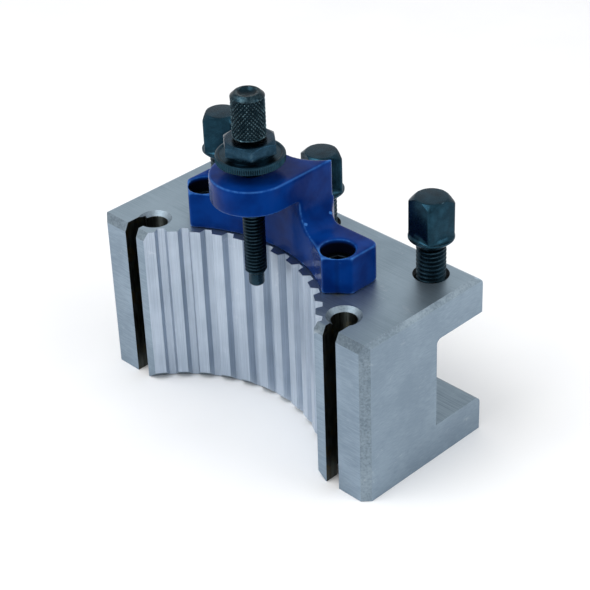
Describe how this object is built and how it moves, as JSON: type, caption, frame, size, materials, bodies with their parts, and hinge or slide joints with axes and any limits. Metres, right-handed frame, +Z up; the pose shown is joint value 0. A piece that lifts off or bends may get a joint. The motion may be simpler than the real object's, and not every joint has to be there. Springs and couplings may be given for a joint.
{
  "type": "quick change tool holder",
  "caption": "Quick change lathe tool holder: block with a serrated arc and claw slots, a side channel under clamp screws, and a blue bracket with a height screw.",
  "frame": {"origin": "middle of the block's flat bottom face", "axes": "+X along the block, +Y out of the tool channel's open side, +Z up along the screws; the serrated front faces -Y"},
  "size_m": [0.1, 0.045, 0.0984],
  "materials": {
    "ground_steel": "fine ground and satin blasted steel",
    "blue_enamel": "glossy cobalt blue enamel on a casting",
    "blackened_steel": "oiled black oxide"
  },
  "bodies": {
    "holder": {"holder_body": "ground_steel", "height_bracket": "blue_enamel", "bracket_screw_left": "blackened_steel", "bracket_screw_right": "blackened_steel"},
    "stud": {"height_stud": "blackened_steel"},
    "knob": {"knurled_knob": "blackened_steel"},
    "ring": {"knurled_ring": "blackened_steel"},
    "nut": {"lock_nut": "blackened_steel"},
    "clamp_left": {"clamp_screw_left": "blackened_steel"},
    "clamp_middle": {"clamp_screw_middle": "blackened_steel"},
    "clamp_right": {"clamp_screw_right": "blackened_steel"}
  },
  "joints": [
    {"name": "stud_lift", "type": "slide", "parent": "holder", "child": "stud", "axis": [0, 0, 1], "range_m": [-0.0004, 0.02]},
    {"name": "knob_turn", "type": "hinge", "parent": "stud", "child": "knob", "pos_m": [0, -0.0111, 0.0859], "axis": [0, 0, 1], "range_deg": [-144.1, 7200.1]},
    {"name": "ring_lift", "type": "slide", "parent": "holder", "child": "ring", "axis": [0, 0, 1], "range_m": [-0.003, 0]},
    {"name": "nut_turn", "type": "hinge", "parent": "ring", "child": "nut", "pos_m": [0, -0.0111, 0.082], "axis": [0, 0, 1], "range_deg": [-1080.1, 0.1]},
    {"name": "clamp_left_feed", "type": "slide", "parent": "holder", "child": "clamp_left", "axis": [0, 0, 1], "range_m": [-0.00625, 0.00625]},
    {"name": "clamp_middle_feed", "type": "slide", "parent": "holder", "child": "clamp_middle", "axis": [0, 0, 1], "range_m": [-0.0075, 0.00625]},
    {"name": "clamp_right_feed", "type": "slide", "parent": "holder", "child": "clamp_right", "axis": [0, 0, 1], "range_m": [-0.00875, 0.00625]}
  ],
  "couplings": [
    {"joint": "knob_turn", "follows": "stud_lift", "rad_per_m": 6283.2},
    {"joint": "nut_turn", "follows": "ring_lift", "rad_per_m": 6283.2}
  ]
}
